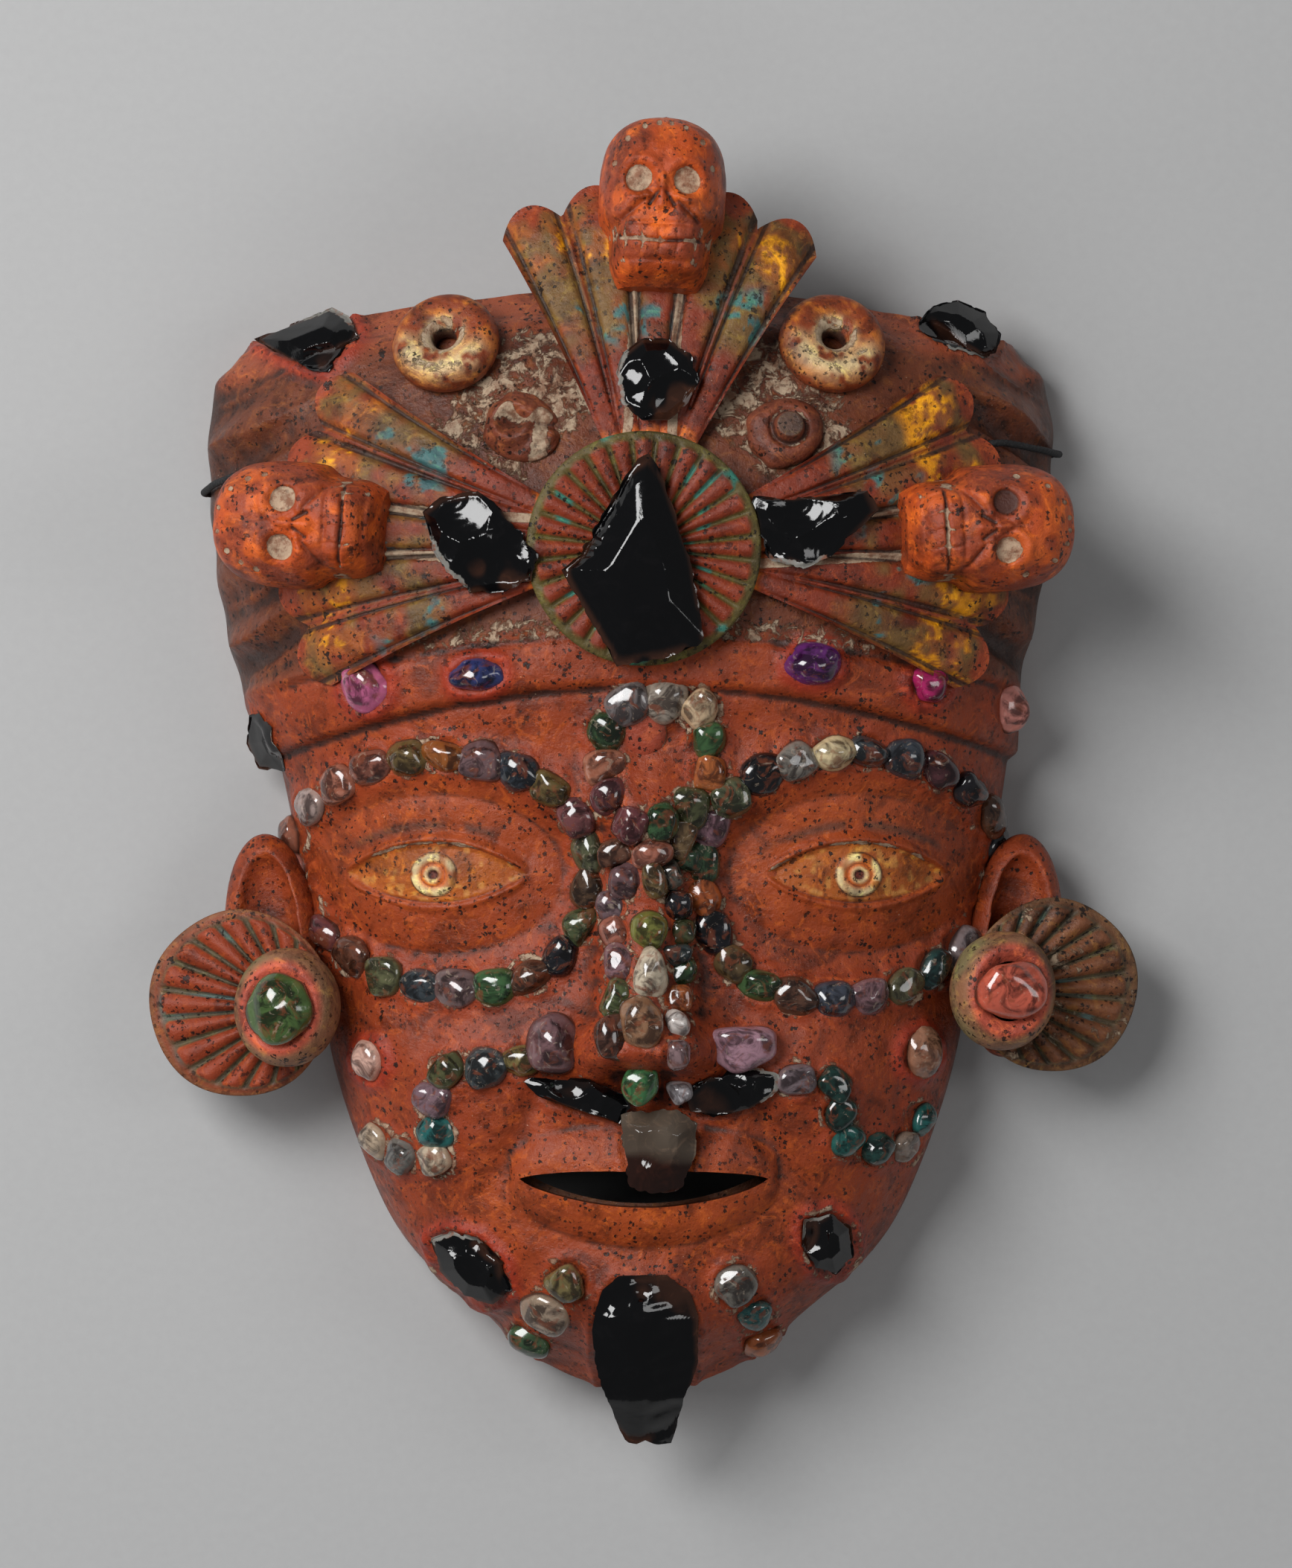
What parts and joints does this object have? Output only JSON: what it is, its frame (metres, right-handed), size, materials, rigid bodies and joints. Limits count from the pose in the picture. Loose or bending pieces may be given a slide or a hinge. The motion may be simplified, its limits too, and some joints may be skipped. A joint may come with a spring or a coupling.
{
  "type": "wall mask",
  "caption": "Fired-clay face mask with a feathered headdress, skulls, ear discs, rows of tumbled stones and struck obsidian.",
  "frame": {"origin": "middle of the footprint, on the plane of the back rim that the mask lies on", "axes": "+X to the viewer's right, +Y towards the crown, +Z out of the face"},
  "size_m": [0.2992, 0.3996, 0.0986],
  "materials": {
    "terracotta": "burnished red-brown fired clay with dark flecks and a pale slip in its recesses",
    "painted_terracotta": "fired clay with worn yellow, green and teal paint",
    "obsidian": "glossy black, struck",
    "obsidian_grey": "grey-brown, half matte",
    "agate_brown": "polished, mixed browns and greys",
    "agate_green": "polished, mottled green",
    "agate_blue": "polished blue",
    "agate_clear": "polished, clear to pale grey",
    "agate_rose": "polished rose",
    "amethyst": "polished purple",
    "coral_stone": "polished coral red",
    "teal_stone": "polished teal and green",
    "amber_stone": "polished grey-green and amber",
    "cord": "black braided cord"
  },
  "bodies": {
    "root": {"mask_shell": "terracotta", "ear_disc_left": "terracotta", "ear_disc_right": "terracotta", "ear_spool_left": "terracotta", "ear_spool_right": "terracotta", "feather_fan_top": "painted_terracotta", "feather_fan_left": "painted_terracotta", "feather_fan_right": "painted_terracotta", "skull_top": "terracotta", "skull_left": "terracotta", "skull_right": "terracotta", "rosette_disc": "painted_terracotta", "pierced_bead_left": "terracotta", "pierced_bead_right": "terracotta", "obsidian_point_centre": "obsidian", "obsidian_flake_top": "obsidian", "obsidian_flake_left": "obsidian", "obsidian_flake_right": "obsidian", "obsidian_corner_left": "obsidian", "obsidian_corner_right": "obsidian", "obsidian_side_left": "obsidian", "obsidian_flake_chin": "obsidian", "obsidian_jaw_left": "obsidian", "obsidian_jaw_right": "obsidian", "obsidian_blade_left": "obsidian", "obsidian_blade_right": "obsidian", "obsidian_pendant": "obsidian_grey", "brow_band_stone_pink": "agate_rose", "brow_band_stone_blue": "agate_blue", "brow_band_stone_purple": "amethyst", "brow_band_stone_magenta": "amethyst", "brow_band_chip_rose": "agate_rose", "nose_stone_green_yellow": "agate_green", "nose_stone_clear": "agate_clear", "nose_stone_smoky": "agate_brown", "nose_stone_green": "agate_green", "nose_stone_white": "agate_clear", "nostril_amethyst_left": "amethyst", "nostril_amethyst_right": "amethyst", "cheek_stone_left": "agate_rose", "cheek_stone_right": "agate_clear", "spool_stone_green": "agate_green", "spool_stone_coral": "coral_stone", "eye_ring_stones_left": "agate_brown", "eye_ring_stones_right": "agate_brown", "nose_side_stones_left": "agate_brown", "nose_side_stones_right": "agate_brown", "forehead_ring_stones": "agate_brown", "forehead_row_stones": "agate_brown", "moustache_stones_left": "teal_stone", "moustache_stones_right": "teal_stone", "chin_stones_left": "amber_stone", "chin_stones_right": "amber_stone", "hanging_cord": "cord"}
  },
  "joints": []
}
